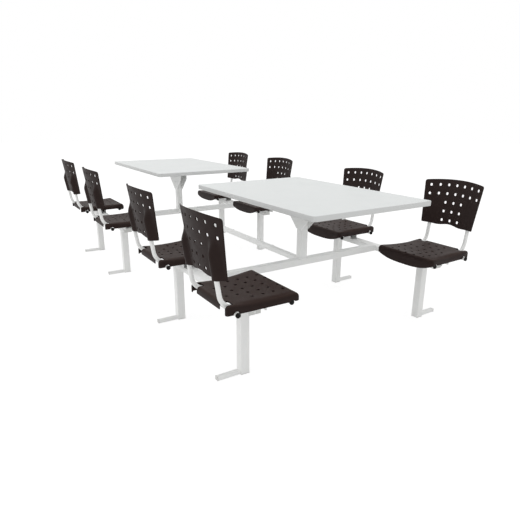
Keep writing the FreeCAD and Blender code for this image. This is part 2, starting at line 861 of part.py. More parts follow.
def make_unit(unit, side):
    make_tabletop(unit, side)
    make_edge_band(unit, side)
    make_top_bracket(unit, side)
    make_post(unit, side)
    make_cross_beam(unit, side)
    make_rail(unit, side, -1, "left")
    make_rail(unit, side, 1, "right")
    make_foot_bars(unit, side)
    make_end_plugs(unit, side)
    make_seat_plates(unit, side)
    make_rod_caps(unit, side)
    for seat, along, across in SEATS:
        make_pedestal(unit, side, seat, along, across)
        make_seat_frame(unit, side, seat, along, across)
        make_seat_shell(unit, side, seat, along, across)
        make_back_shell(unit, side, seat, along, across)


def check_document():
    """Stop if anything in the document failed, or a sub-part has no valid shape."""
    for thing in doc.Objects:
        if "Invalid" in thing.State or "Error" in thing.State:
            raise RuntimeError(f"{thing.Name}: {thing.State}")
    for thing in nodes:
        if thing.Shape.isNull() or not thing.Shape.isValid():
            raise RuntimeError(f"{thing.Label} has no valid shape")


def export_nodes():
    os.makedirs("parts", exist_ok=True)
    for thing in nodes:
        thing.Shape.exportStep(f"parts/{thing.Label}.step")
        print(thing.Label, "solids", len(thing.Shape.Solids))


fill_sheet()
for unit_name, unit_side in UNITS:
    make_unit(unit_name, unit_side)
make_tie_beam()
doc.recompute()
check_document()
export_nodes()
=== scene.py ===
# %% [markdown]
# # A cafeteria cluster: two tables in line with eight fixed seats
# The real thing is one welded frame of square steel tube, powder-coated white. Its low side rails
# carry perforated plastic seats on bent round tubes, and two posts carry laminated tabletops.
# The engineering model comes in as a fixed frame. Each cell below takes one kind of piece and
# gives it the radii, walls, curves and finish that the plain solids lack, in the same place.

# %% Load the fixed frame
import math

import bmesh
import bpy
from mathutils import Matrix, Vector


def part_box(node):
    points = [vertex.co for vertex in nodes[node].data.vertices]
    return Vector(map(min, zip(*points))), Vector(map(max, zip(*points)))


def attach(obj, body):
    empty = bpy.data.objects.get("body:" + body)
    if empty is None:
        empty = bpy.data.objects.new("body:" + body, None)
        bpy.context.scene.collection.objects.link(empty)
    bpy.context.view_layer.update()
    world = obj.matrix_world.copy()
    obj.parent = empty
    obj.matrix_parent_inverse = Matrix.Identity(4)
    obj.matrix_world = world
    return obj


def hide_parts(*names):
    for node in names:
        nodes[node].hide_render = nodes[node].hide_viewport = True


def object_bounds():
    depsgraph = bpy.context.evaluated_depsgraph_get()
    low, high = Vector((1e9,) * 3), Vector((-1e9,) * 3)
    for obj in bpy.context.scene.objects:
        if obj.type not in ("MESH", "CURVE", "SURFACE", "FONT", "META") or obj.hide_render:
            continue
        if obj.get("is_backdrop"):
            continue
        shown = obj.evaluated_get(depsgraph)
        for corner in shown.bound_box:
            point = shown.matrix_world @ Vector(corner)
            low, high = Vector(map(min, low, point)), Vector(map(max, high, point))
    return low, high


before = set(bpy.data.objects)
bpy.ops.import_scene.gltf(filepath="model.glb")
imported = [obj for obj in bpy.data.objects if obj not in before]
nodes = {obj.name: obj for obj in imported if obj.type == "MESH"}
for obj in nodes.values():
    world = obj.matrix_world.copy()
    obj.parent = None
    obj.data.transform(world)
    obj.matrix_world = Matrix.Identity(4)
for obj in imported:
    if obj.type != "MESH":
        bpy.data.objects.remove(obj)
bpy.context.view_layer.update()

MM = 0.001
UNITS = ("unit1", "unit2")

# %% [markdown]
# ## Camera
# A product shot from chest height. The lens is given as a focal length in pixels of a
# 520-pixel frame, so that the field of view doesn't depend on the render size. Yaw, pitch and
# roll are applied in that order, which keeps the horizon's slight tilt easy to change.

# %% Camera
FRAME_PIXELS = 520
FOCAL_PIXELS = 467.5
SENSOR_WIDTH = 36
SEES_AS_FAR_AS = 60
STAND_AT = Vector((2.9163, -1.5976, 1.1464))
YAW, PITCH, ROLL = 147.24, 17.06, 0.33

camera = bpy.data.objects.new("camera", bpy.data.cameras.new("camera"))
bpy.context.scene.collection.objects.link(camera)
camera.data.sensor_width = SENSOR_WIDTH
camera.data.lens = FOCAL_PIXELS * SENSOR_WIDTH / FRAME_PIXELS
camera.data.clip_end = SEES_AS_FAR_AS
turn = Matrix.Rotation(math.radians(YAW - 90), 4, "Z")
tip = Matrix.Rotation(math.radians(90 - PITCH), 4, "X")
lean = Matrix.Rotation(math.radians(ROLL), 4, "Z")
camera.matrix_world = Matrix.Translation(STAND_AT) @ turn @ tip @ lean
bpy.context.scene.camera = camera
print("lens", round(camera.data.lens, 1), "mm")

# %% [markdown]
# ## Material helpers
# Colours are picked as the sRGB hex values a designer would write on a drawing, but shaders work
# on linear light, so one function converts them. One more function adds any node with its
# settings and its links, which keeps each material to a few lines that read from top to bottom.
# The three sums that recur in the trees below get short names first.

# %% Colours and nodes
TIMES, MINUS, LARGER = [{"operation": name} for name in ("MULTIPLY", "SUBTRACT", "MAXIMUM")]


def linear(hex_colour):
    """sRGB hex to the linear RGBA that shaders use."""
    channels = [int(hex_colour[i:i + 2], 16) / 255 for i in (1, 3, 5)]
    return [c / 12.92 if c <= 0.04045 else ((c + 0.055) / 1.055) ** 2.4 for c in channels] + [1]


def add(tree, kind, settings=None, **links):
    """Adds a node. Settings are attributes; links are values or (node, output) for its inputs."""
    node = tree.nodes.new(kind)
    for name, value in (settings or {}).items():
        setattr(node, name, value)
    for name, value in links.items():
        socket = node.inputs[int(name[1:]) if name[1:].isdigit() else name.replace("_", " ")]
        if isinstance(value, tuple) and hasattr(value[0], "outputs"):
            tree.links.new(value[0].outputs[value[1]], socket)
        else:
            socket.default_value = value
    return node


print("mid grey #808080 is", round(linear("#808080")[0], 3), "in linear light")

# %% [markdown]
# ## One recipe for every finish
# Real paint and plastic are never one flat colour. A wide soft noise drifts between two close
# tones and moves the gloss with it, and a fine noise raises the grain. Both are laid out in
# millimetres on the object itself, so the pattern keeps its size on every piece.

# %% A finish
LIT_TOP_STARTS, LIT_TOP_ENDS = 0.55, 0.98
BLOTCH_LOW, BLOTCH_HIGH = 0.3, 0.7
GRAIN_RELIEF = 0.2 * MM


def finish_of(name, colour, shade, roughness, grain_mm, bump, blotch_mm=60, extra=None,
              lit_and_rubbed=None):
    """A painted, moulded or laminated surface: two close tones, fine grain and uneven gloss.

    The last argument is the paler tone painted on upward faces: painted light on the tops, with
    some rub of clothes and cloths.
    """
    material = bpy.data.materials.new(name)
    material.use_nodes = True
    tree = material.node_tree
    shader = tree.nodes["Principled BSDF"]
    place = add(tree, "ShaderNodeTexCoord")
    blotch = add(tree, "ShaderNodeTexNoise", Vector=(place, "Object"), Scale=1 / (blotch_mm * MM),
                 Detail=3.0, Roughness=0.6)
    tone = add(tree, "ShaderNodeMix", {"data_type": "RGBA"}, Factor=(blotch, "Fac"))
    tone.inputs[6].default_value = linear(colour)
    tone.inputs[7].default_value = linear(shade)
    colour_from = tone.outputs[2]
    # Painted light: upward faces are mixed towards a paler tone that stands for light on the tops,
    # along with some rub of use.
    if lit_and_rubbed:
        surface = add(tree, "ShaderNodeNewGeometry")
        facing = add(tree, "ShaderNodeSeparateXYZ", Vector=(surface, "Normal"))
        upward = add(tree, "ShaderNodeMapRange", Value=(facing, "Z"), From_Min=LIT_TOP_STARTS,
                     From_Max=LIT_TOP_ENDS)
        lit_and_rubbed_top = add(tree, "ShaderNodeMix", {"data_type": "RGBA"}, Factor=(upward, 0))
        lit_and_rubbed_top.inputs[7].default_value = linear(lit_and_rubbed)
        tree.links.new(tone.outputs[2], lit_and_rubbed_top.inputs[6])
        colour_from = lit_and_rubbed_top.outputs[2]
    tree.links.new(colour_from, shader.inputs["Base Color"])
    low, high = roughness
    gloss = add(tree, "ShaderNodeMapRange", Value=(blotch, "Fac"), From_Min=BLOTCH_LOW,
                From_Max=BLOTCH_HIGH, To_Min=low, To_Max=high)
    tree.links.new(gloss.outputs[0], shader.inputs["Roughness"])
    grain = add(tree, "ShaderNodeTexNoise", Vector=(place, "Object"), Scale=1 / (grain_mm * MM),
                Detail=2.0, Roughness=0.55)
    relief = add(tree, "ShaderNodeBump", Strength=bump, Distance=GRAIN_RELIEF,
                 Height=(grain, "Fac"))
    tree.links.new(relief.outputs[0], shader.inputs["Normal"])
    for socket, value in (extra or {}).items():
        shader.inputs[socket].default_value = value
    return material


# %% [markdown]
# ## Finishes
# *Powder-coated steel*: polyester powder, electrostatically sprayed and baked. It melts into a
# smooth skin with a faint orange peel about 2 mm across, drawn at 4 mm so that it shows.
# *Melamine laminate*: printed paper and resin pressed on particle board, satin, nearly flat.
# *Polypropylene*: injection-moulded in a spark-eroded tool, which leaves an even fine grain and
# a soft, slightly waxy gloss. Its upward faces get a paler tone, which is painted light on the tops
# and partly the rub where people sit. *ABS edging* is extruded, a
# shade greyer than the laminate. *Polyethylene plugs* are plain and even. *Zinc plate* on the
# screws is a thin bright coat on steel.

# %% Finishes
steel_white = finish_of("powder_coated_steel", "#F3F3F1", "#EDEEED", (0.34, 0.42), 4.0, 0.10)
laminate = finish_of("melamine_laminate", "#DFE2E1", "#DADEDD", (0.30, 0.34), 1.5, 0.012, 180)
edging = finish_of("abs_edging", "#D3D4D3", "#CDCFCE", (0.36, 0.44), 2.0, 0.06, 90)
# The brown's upward faces take a paler tone: painted light on the tops, partly rubbing.
shell_brown = finish_of("moulded_polypropylene", "#261916", "#201411", (0.48, 0.56), 1.2, 0.22,
                        40, {"IOR": 1.49, "Specular IOR Level": 0.15}, lit_and_rubbed="#32221D")
plug_black = finish_of("polyethylene_plug", "#100F0E", "#161413", (0.38, 0.46), 1.5, 0.10, 12,
                       {"Specular IOR Level": 0.12})
plug_white = finish_of("white_polyethylene_plug", "#DADAD7", "#D2D2D0", (0.45, 0.52), 1.5, 0.08,
                       12)
zinc = finish_of("zinc_plated_steel", "#B9BBBE", "#A6A9AD", (0.28, 0.36), 0.8, 0.10, 6,
                 {"Metallic": 1.0})
print(len(bpy.data.materials), "materials")

# %% [markdown]
# ## Mesh helpers
# Every finished piece is a plain mesh whose object sits at the origin, so a helper turns lists
# of points and faces into such a mesh and shades it smooth except across real edges.


# %% Shading and pieces
def smooth_by_angle(mesh, degrees=32):
    """Smooth shading that stays crisp where two faces meet at more than the given angle."""
    work = bmesh.new()
    work.from_mesh(mesh)
    bmesh.ops.remove_doubles(work, verts=work.verts, dist=1e-6)
    bmesh.ops.recalc_face_normals(work, faces=work.faces)
    limit = math.radians(degrees)
    for edge in work.edges:
        edge.smooth = len(edge.link_faces) == 2 and edge.calc_face_angle(0) < limit
    for face in work.faces:
        face.smooth = True
    work.to_mesh(mesh)
    work.free()


def piece(name, mesh, material, slot, *replaced):
    """One finished piece: it rides on the frame and stands for the named solids."""
    obj = bpy.data.objects.new(name, mesh)
    bpy.context.scene.collection.objects.link(obj)
    mesh.materials.clear()
    mesh.materials.append(material)
    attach(obj, "root")
    if replaced:
        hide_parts(*replaced)
    return obj


def mesh_of(name, parts):
    """One mesh from several (points, faces) lists."""
    points, faces = [], []
    for part_points, part_faces in parts:
        start = len(points)
        points += [tuple(p) for p in part_points]
        faces += [[start + i for i in face] for face in part_faces]
    mesh = bpy.data.meshes.new(name)
    mesh.from_pydata(points, [], faces)
    smooth_by_angle(mesh)
    return mesh


# %% Loops and the skin between them
def stacked_loops(loops, first_centre=None, last_centre=None):
    """Skin over closed loops of equal count; each end is left open or closed to a centre."""
    count = len(loops[0])
    points = [p for loop in loops for p in loop]
    faces = []
    for k in range(len(loops) - 1):
        for i in range(count):
            j = (i + 1) % count
            faces.append([k * count + i, k * count + j,
                          (k + 1) * count + j, (k + 1) * count + i])
    for centre, base in ((first_centre, 0), (last_centre, (len(loops) - 1) * count)):
        if centre is not None:
            points.append(centre)
            for i in range(count):
                faces.append([len(points) - 1, base + i, base + (i + 1) % count])
    return points, faces


def rounded_rectangle(width, depth, radius, steps=5):
    """Closed loop of plan points round a rectangle with rounded corners."""
    loop = []
    for quarter in range(4):
        sx, sy = ((1, 1), (-1, 1), (-1, -1), (1, -1))[quarter]
        for step in range(steps + 1):
            angle = math.radians(90 * quarter + 90 * step / steps)
            loop.append((sx * (width / 2 - radius) + radius * math.cos(angle),
                         sy * (depth / 2 - radius) + radius * math.sin(angle)))
    return loop


print(len(rounded_rectangle(60 * MM, 30 * MM, 3 * MM)), "points round a tube's section")

# %% [markdown]
# ## Square tube
# Cold-formed tube has rounded corners, about one and a half walls in radius, and they catch a
# thin highlight that a sharp box never shows. One function makes any run of tube from the box of
# its solid: told the axis, it rounds the section's corners and breaks the two cut edges.

# %% Skin of a square tube
TUBE_CORNER = 3.5 * MM
CUT_EDGE = 0.6 * MM


def tube_skin(low, high, axis, corner=TUBE_CORNER, cut=CUT_EDGE):
    """Closed skin of a straight tube that fills the box and runs along the axis."""
    across = [k for k in range(3) if k != axis]
    width, depth = [high[k] - low[k] for k in across]
    loops = []
    stations = ((low[axis], cut), (low[axis] + cut, 0), (high[axis] - cut, 0), (high[axis], cut))
    for at, shrink in stations:
        section = rounded_rectangle(width - 2 * shrink, depth - 2 * shrink, corner - shrink)
        loop = []
        for u, v in section:
            point = [0, 0, 0]
            point[across[0]] = (low[across[0]] + high[across[0]]) / 2 + u
            point[across[1]] = (low[across[1]] + high[across[1]]) / 2 + v
            point[axis] = at
            loop.append(point)
        loops.append(loop)
    ends = []
    for at in (low[axis], high[axis]):
        centre = [(a + b) / 2 for a, b in zip(low, high)]
        centre[axis] = at
        ends.append(centre)
    return stacked_loops(loops, ends[0], ends[1])


# %% Square tubes of the welded frame
def solids_in(node):
    """Boxes of the separate solids inside a node, from its mesh's loose parts, in a fixed order."""
    work = bmesh.new()
    work.from_mesh(nodes[node].data)
    bmesh.ops.remove_doubles(work, verts=work.verts, dist=1e-5)
    left, boxes = set(work.verts), []
    while left:
        stack, seen = [left.pop()], []
        while stack:
            vertex = stack.pop()
            seen.append(vertex.co.copy())
            for edge in vertex.link_edges:
                other = edge.other_vert(vertex)
                if other in left:
                    left.remove(other)
                    stack.append(other)
        boxes.append(([min(p[k] for p in seen) for k in range(3)],
                      [max(p[k] for p in seen) for k in range(3)]))
    work.free()
    return sorted(boxes)


def square_tube(node, axis, material=steel_white, slot="white_steel"):
    skins = [tube_skin(low, high, axis) for low, high in solids_in(node)]
    return piece(f"{node}_tube", mesh_of(node, skins), material, slot, node)


for unit in UNITS:
    square_tube(f"{unit}_table_post", 2)
    square_tube(f"{unit}_cross_beam", 1)
    square_tube(f"{unit}_foot_bars", 1)
    for hand in ("left", "right"):
        square_tube(f"{unit}_side_rail_{hand}", 0)
    for number in (1, 2, 3, 4):
        square_tube(f"{unit}_pedestal{number}", 2)
square_tube("tie_beam", 0)

# %% [markdown]
# ## Tabletops
# The top is particle board with laminate on both faces and a 3 mm plastic edging glued round it.
# The edging is trimmed flush and its two long edges are broken with a small radius, which is
# what draws a fine line of light between the top and its edge, so the strip is built from loops.

# %% Tabletop edging
TABLE_CORNER = 22 * MM
EDGE_BREAK = 2.2 * MM
CORNER_STEPS = 10


def edging_skin(low, high, thickness, corner):
    """Ring round the board: rounded outside edges, flat inside against the board."""
    middle = [(a + b) / 2 for a, b in zip(low, high)]
    width, depth = high[0] - low[0], high[1] - low[1]
    quarter = [math.radians(90 * step / 4) for step in range(5)]
    stations = [(thickness, low[2])]
    stations += [(EDGE_BREAK * (1 - math.sin(a)), low[2] + EDGE_BREAK * (1 - math.cos(a)))
                 for a in quarter]
    stations += [(EDGE_BREAK * (1 - math.cos(a)), high[2] - EDGE_BREAK * (1 - math.sin(a)))
                 for a in quarter]
    stations += [(thickness, high[2]), (thickness, low[2])]
    loops = []
    for inset, z in stations:
        plan = rounded_rectangle(width - 2 * inset, depth - 2 * inset, corner - inset, CORNER_STEPS)
        loops.append([(middle[0] + x, middle[1] + y, z) for x, y in plan])
    return stacked_loops(loops)


for unit in UNITS:
    low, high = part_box(f"{unit}_edge_band")
    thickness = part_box(f"{unit}_tabletop")[0][0] - low[0]
    ring = mesh_of(f"{unit}_edging", [edging_skin(low, high, thickness, TABLE_CORNER)])
    piece(f"{unit}_edging", ring, edging, "edge_plastic", f"{unit}_edge_band")
    print(unit, "edging", round(thickness / MM, 1), "mm thick")

# %% [markdown]
# ## Seat frames
# Each seat stands on two round tubes bent to a J and welded to two cross tubes. A tube along a
# path is what Curve to Mesh does: a tree takes the corner points of a run, fillets them to the
# bending radius and sweeps a circle along, so the same tree serves the straight cross tubes.


# %% Building and running a tree
def new_tree(name, *inputs):
    """Geometry Nodes tree with one geometry in and out, and the named inputs."""
    tree = bpy.data.node_groups.new(name, "GeometryNodeTree")
    tree.interface.new_socket("Geometry", in_out="INPUT", socket_type="NodeSocketGeometry")
    for label, kind, value in inputs:
        socket = tree.interface.new_socket(label, in_out="INPUT", socket_type=f"NodeSocket{kind}")
        if value is not None:
            socket.default_value = value
    tree.interface.new_socket("Geometry", in_out="OUTPUT", socket_type="NodeSocketGeometry")
    return tree, add(tree, "NodeGroupInput"), add(tree, "NodeGroupOutput")


def grow(mesh, tree, **values):
    """Runs a tree on a mesh once and returns the result as a plain mesh."""
    obj = bpy.data.objects.new("work", mesh)
    bpy.context.scene.collection.objects.link(obj)
    modifier = obj.modifiers.new("nodes", "NODES")
    modifier.node_group = tree
    sockets = {s.name: s.identifier for s in tree.interface.items_tree if s.in_out == "INPUT"}
    for name, value in values.items():
        modifier[sockets[name.replace("_", " ")]] = value
    graph = bpy.context.evaluated_depsgraph_get()
    result = bpy.data.meshes.new_from_object(obj.evaluated_get(graph), depsgraph=graph)
    obj.modifiers.remove(modifier)
    bpy.data.objects.remove(obj)
    return result


# %% Tube along a path
BEND_STEPS, ROUND_STEPS = 12, 20
tube_tree, given, result = new_tree(
    "tube_along_path", ("Radius", "Float", 0.011), ("Bend", "Float", 0.045),
    ("Material", "Material", None))
runs = add(tube_tree, "GeometryNodeMeshToCurve", Mesh=(given, "Geometry"))
bends = add(tube_tree, "GeometryNodeFilletCurve", Curve=(runs, "Curve"), Radius=(given, "Bend"))
bends.mode = "POLY"
bends.inputs["Count"].default_value = BEND_STEPS
ring = add(tube_tree, "GeometryNodeCurvePrimitiveCircle", Resolution=ROUND_STEPS,
           Radius=(given, "Radius"))
swept = add(tube_tree, "GeometryNodeCurveToMesh", Curve=(bends, "Curve"),
            Profile_Curve=(ring, "Curve"), Fill_Caps=True)
painted = add(tube_tree, "GeometryNodeSetMaterial", Geometry=(swept, "Mesh"),
              Material=(given, "Material"))
real = add(tube_tree, "GeometryNodeRealizeInstances", Geometry=(painted, "Geometry"))
tube_tree.links.new(real.outputs[0], result.inputs[0])
print("tube tree of", len(tube_tree.nodes), "nodes")


def path_mesh(name, paths):
    """Mesh of bare edges through each list of points."""
    points, edges = [], []
    for path in paths:
        start = len(points)
        points += path
        edges += [(start + i, start + i + 1) for i in range(len(path) - 1)]
    mesh = bpy.data.meshes.new(name)
    mesh.from_pydata(points, edges, [])
    return mesh


# %% Runs of the seat's tubes
ROD, CROSS_ROD, BEND, LEAN = 10.5 * MM, 9.5 * MM, 70 * MM, math.radians(9)
SEAT_LEVEL, BACK_LEVEL = 425 * MM, 530 * MM
UNDER_SEAT, CROSS_LEVEL = 402 * MM, 385 * MM
UPRIGHT_X, UPRIGHT_AT, UPRIGHT_FRONT, INTO_BACK = 130 * MM, -179 * MM, 147 * MM, 95 * MM
CROSS_END, CROSS_AT = 181 * MM, (136 * MM, -130 * MM)


def upright_y(level):
    """Where the leaning uprights are at a level above the floor."""
    return UPRIGHT_AT - (level - SEAT_LEVEL) * math.tan(LEAN)


def upright_paths():
    """Under the seat from its front, then up into the back."""
    top = BACK_LEVEL + INTO_BACK * math.cos(LEAN)
    return [[(x, UPRIGHT_FRONT, UNDER_SEAT), (x, upright_y(UNDER_SEAT), UNDER_SEAT),
             (x, upright_y(top), top)] for x in (-UPRIGHT_X, UPRIGHT_X)]


def cross_paths():
    """Straight across the seat, one in front and one behind."""
    return [[(-CROSS_END, y, CROSS_LEVEL), (CROSS_END, y, CROSS_LEVEL)] for y in CROSS_AT]


print("bend at", round(upright_y(UNDER_SEAT) / MM), "mm from the seat's middle")


# %% Seat frames
SEATS = (("seat1", 1, -1), ("seat2", -1, -1), ("seat3", 1, 1), ("seat4", -1, 1))
HALF_MODULE, HALF_SEATS, HALF_ROWS = 0.875, 0.364, 0.609


def merged(name, *meshes):
    """One mesh from several finished ones."""
    work = bmesh.new()
    for mesh in meshes:
        work.from_mesh(mesh)
    whole = bpy.data.meshes.new(name)
    work.to_mesh(whole)
    work.free()
    return whole


def seat_place(unit, along, across):
    """Where a seat stands: turned so that its front faces the table."""
    side = 1 if unit == "unit1" else -1
    spot = Vector((side * HALF_MODULE + along * HALF_SEATS, across * HALF_ROWS, 0))
    return Matrix.Translation(spot) @ Matrix.Rotation(0 if across < 0 else math.pi, 4, "Z")


def at_each_seat(pattern, name, material, slot, node_suffix=None):
    """Copies a seat-sized mesh to all eight places, one piece for each seat."""
    for unit in UNITS:
        for seat, along, across in SEATS:
            mesh = pattern.copy()
            mesh.transform(seat_place(unit, along, across))
            replaced = [f"{unit}_{seat}_{node_suffix}"] if node_suffix else []
            piece(f"{unit}_{seat}_{name}", mesh, material, slot, *replaced)
    print(name, len(pattern.polygons), "faces each")


uprights = grow(path_mesh("uprights", upright_paths()), tube_tree, Radius=ROD, Bend=BEND,
                Material=steel_white)
cross_tubes = grow(path_mesh("cross_tubes", cross_paths()), tube_tree, Radius=CROSS_ROD, Bend=BEND,
                   Material=steel_white)
frame_pattern = merged("seat_frame", uprights, cross_tubes)
smooth_by_angle(frame_pattern)
at_each_seat(frame_pattern, "tubes", steel_white, "white_steel", "frame")

# %% [markdown]
# ## Perforations
# The shells are pierced by rows of small rounded squares. Hundreds of equal holes are a rule,
# not a sculpture: a tree lays out a grid of points, bows its rows like the edge of the moulding,
# stands a rounded prism on each point and takes them all out in one boolean.

# %% Perforation tree: rows of points
holes, given, result = new_tree(
    "pierce_grid", ("Columns", "Int", 3), ("Rows", "Int", 3), ("Pitch X", "Float", 0.05),
    ("Pitch Y", "Float", 0.05), ("Bow", "Float", 0.0), ("Hole", "Float", 0.012),
    ("Corner", "Float", 0.003), ("Depth", "Float", 0.2), ("Centre", "Vector", None),
    ("Turn", "Vector", None), ("Material", "Material", None))
spans = []
for count, pitch in (("Columns", "Pitch X"), ("Rows", "Pitch Y")):
    gaps = add(holes, "ShaderNodeMath", MINUS, _0=(given, count), _1=1.0)
    spans.append(add(holes, "ShaderNodeMath", TIMES, _0=(gaps, 0), _1=(given, pitch)))
flat_grid = add(holes, "GeometryNodeMeshGrid", Size_X=(spans[0], 0), Size_Y=(spans[1], 0),
                Vertices_X=(given, "Columns"), Vertices_Y=(given, "Rows"))
where = add(holes, "GeometryNodeInputPosition")
apart = add(holes, "ShaderNodeSeparateXYZ", Vector=(where, 0))
squared = add(holes, "ShaderNodeMath", TIMES, _0=(apart, "X"), _1=(apart, "X"))
fall = add(holes, "ShaderNodeMath", TIMES, _0=(squared, 0), _1=(given, "Bow"))
down = add(holes, "ShaderNodeMath", TIMES, _0=(fall, 0), _1=-1.0)
bowed = add(holes, "ShaderNodeCombineXYZ", Y=(down, 0))
grid = add(holes, "GeometryNodeSetPosition", Geometry=(flat_grid, "Mesh"), Offset=(bowed, 0))
print(len(holes.nodes), "nodes lay out the points")

# %% Perforation tree: the rounded prism
CORNER_POINTS = 3
square = add(holes, "GeometryNodeCurvePrimitiveQuadrilateral", Width=(given, "Hole"),
             Height=(given, "Hole"))
soft = add(holes, "GeometryNodeFilletCurve", Curve=(square, "Curve"), Radius=(given, "Corner"))
soft.mode = "POLY"
soft.inputs["Count"].default_value = CORNER_POINTS
plate = add(holes, "GeometryNodeFillCurve", Curve=(soft, "Curve"))
plate.mode = "NGONS"
prism = add(holes, "GeometryNodeExtrudeMesh", Mesh=(plate, "Mesh"), Offset_Scale=(given, "Depth"))
base = add(holes, "GeometryNodeFlipFaces", Mesh=(plate, "Mesh"))
closed = add(holes, "GeometryNodeJoinGeometry")
holes.links.new(prism.outputs["Mesh"], closed.inputs[0])
holes.links.new(base.outputs["Mesh"], closed.inputs[0])
welded = add(holes, "GeometryNodeMergeByDistance", Geometry=(closed, "Geometry"), Distance=1e-6)
half = add(holes, "ShaderNodeMath", TIMES, _0=(given, "Depth"), _1=-0.5)
drop = add(holes, "ShaderNodeCombineXYZ", Z=(half, 0))
centred = add(holes, "GeometryNodeTransform", Geometry=(welded, "Geometry"), Translation=(drop, 0))
print(len(holes.nodes), "nodes with the prism")

# %% Perforation tree: the cut
many = add(holes, "GeometryNodeInstanceOnPoints", Points=(grid, "Geometry"),
           Instance=(centred, "Geometry"))
solid = add(holes, "GeometryNodeRealizeInstances", Geometry=(many, "Instances"))
placed = add(holes, "GeometryNodeTransform", Geometry=(solid, "Geometry"),
             Translation=(given, "Centre"), Rotation=(given, "Turn"))
cut = add(holes, "GeometryNodeMeshBoolean", {"operation": "DIFFERENCE"}, Mesh_1=(given, "Geometry"))
holes.links.new(placed.outputs[0], cut.inputs["Mesh 2"])
coated = add(holes, "GeometryNodeSetMaterial", Geometry=(cut, "Mesh"),
             Material=(given, "Material"))
flat = add(holes, "GeometryNodeRealizeInstances", Geometry=(coated, "Geometry"))
holes.links.new(flat.outputs[0], result.inputs[0])


HOLE_CORNER, PRISM_DEPTH = 0.28, 0.2
SHELL_CREASE = 35


def pierce(mesh, columns, rows, pitch, hole, centre, bow, upright=False):
    """Takes one grid of holes out of a closed mesh.

    Bow is how far the rows fall, and at which distance from their middle.
    """
    turned = (math.pi / 2, 0, 0) if upright else (0, 0, 0)
    cut_mesh = grow(mesh, holes, Columns=columns, Rows=rows, Pitch_X=pitch[0] * MM,
                    Pitch_Y=pitch[1] * MM, Bow=bow[0] * MM / (bow[1] * MM) ** 2, Hole=hole * MM,
                    Corner=hole * HOLE_CORNER * MM, Depth=PRISM_DEPTH,
                    Centre=[c * MM for c in centre], Turn=turned, Material=shell_brown)
    print("pierced", columns * rows, "holes,", len(cut_mesh.polygons), "faces")
    return cut_mesh


# %% [markdown]
# ## Moulded shells from four sides
# Both mouldings are thin walls with a four-sided outline and small corners. The inner and the
# outer skin are patches stretched between their four sides, so their faces follow the edges, and
# rings that run round the rim join them. Subdividing a box would also give a soft shell, but it
# would round the corners more than the tool does, and its wall would come out uneven.

# %% Points along a line
CROWDING = 0.7


def close_at_ends(count):
    """Shares from 0 to 1 that crowd together at both ends, where the corners turn."""
    return [i / count - CROWDING * math.sin(2 * math.pi * i / count) / (2 * math.pi)
            for i in range(count + 1)]


def along_line(line, shares):
    """Points at the given shares of the length of a line of points."""
    lengths = [0]
    for a, b in zip(line, line[1:]):
        lengths.append(lengths[-1] + math.dist(a, b))
    spots, k = [], 0
    for share in shares:
        at = min(max(share, 0), 1) * lengths[-1]
        while k < len(line) - 2 and lengths[k + 1] < at:
            k += 1
        part = (at - lengths[k]) / max(lengths[k + 1] - lengths[k], 1e-9)
        spots.append(tuple(p + (q - p) * part for p, q in zip(line[k], line[k + 1])))
    return spots


print("eight steps:", [round(share, 2) for share in close_at_ends(8)])


# %% Outline with rounded corners
def rounded_side(corners, k, shares):
    """One side of an outline, from the middle of a rounded corner to the middle of the next."""
    line = []
    for end, order in ((k, (0.5, 0.67, 0.83, 1)), ((k + 1) % 4, (0, 0.17, 0.33, 0.5))):
        point, radius = Vector(corners[end][0]), corners[end][1]
        back = (Vector(corners[end - 1][0]) - point).normalized()
        ahead = (Vector(corners[(end + 1) % 4][0]) - point).normalized()
        opening = math.acos(back.dot(ahead))
        middle = point + (back + ahead).normalized() * radius / math.sin(opening / 2)
        start = point + back * radius / math.tan(opening / 2) - middle
        first = math.atan2(start.y, start.x)
        for share in order:
            angle = first + (math.pi - opening) * share
            line.append((middle.x + radius * math.cos(angle), middle.y + radius * math.sin(angle)))
    return along_line(line, shares)


def ring_of(corners, shares):
    """The closed outline, counter-clockwise from its first corner."""
    loop = []
    for k in range(4):
        loop += rounded_side(corners, k, shares[k % 2])[:-1]
    return loop


# %% Patch between four sides
def patch_of(corners, shares):
    """Rows of points that fill the outline evenly between its four sides."""
    low, right = rounded_side(corners, 0, shares[0]), rounded_side(corners, 1, shares[1])
    high = rounded_side(corners, 2, shares[0])[::-1]
    left = rounded_side(corners, 3, shares[1])[::-1]
    rows = []
    for j, v in enumerate(shares[1]):
        row = []
        for i, u in enumerate(shares[0]):
            point = []
            for axis in (0, 1):
                sides = ((1 - v) * low[i][axis] + v * high[i][axis]
                         + (1 - u) * left[j][axis] + u * right[j][axis])
                ends = ((1 - u) * (1 - v) * low[0][axis] + u * (1 - v) * low[-1][axis]
                        + (1 - u) * v * high[0][axis] + u * v * high[-1][axis])
                point.append(sides - ends)
            row.append(tuple(point))
        rows.append(row)
    return rows


def sheet(rows, place):
    """Points and faces of a patch whose flat points a function puts in space."""
    points = [place(x, y) for row in rows for x, y in row]
    wide = len(rows[0])
    faces = [[j * wide + i, j * wide + i + 1, (j + 1) * wide + i + 1, (j + 1) * wide + i]
             for j in range(len(rows) - 1) for i in range(wide - 1)]
    return points, faces


def in_metres(parts):
    """The same parts, from millimetres."""
    return [([Vector(p) * MM for p in points], faces) for points, faces in parts]


# %% Carving
def carve(mesh, *cutters):
    """Takes closed shapes out of a mesh with one exact boolean."""
    tool = bpy.data.objects.new("cutter", mesh_of("cutter", cutters))
    work = bpy.data.objects.new("work", mesh)
    for obj in (tool, work):
        bpy.context.scene.collection.objects.link(obj)
    modifier = work.modifiers.new("cut", "BOOLEAN")
    modifier.operation, modifier.solver, modifier.object = "DIFFERENCE", "EXACT", tool
    graph = bpy.context.evaluated_depsgraph_get()
    carved = bpy.data.meshes.new_from_object(work.evaluated_get(graph), depsgraph=graph)
    work.modifiers.remove(modifier)
    for obj in (work, tool):
        bpy.data.objects.remove(obj)
    return carved


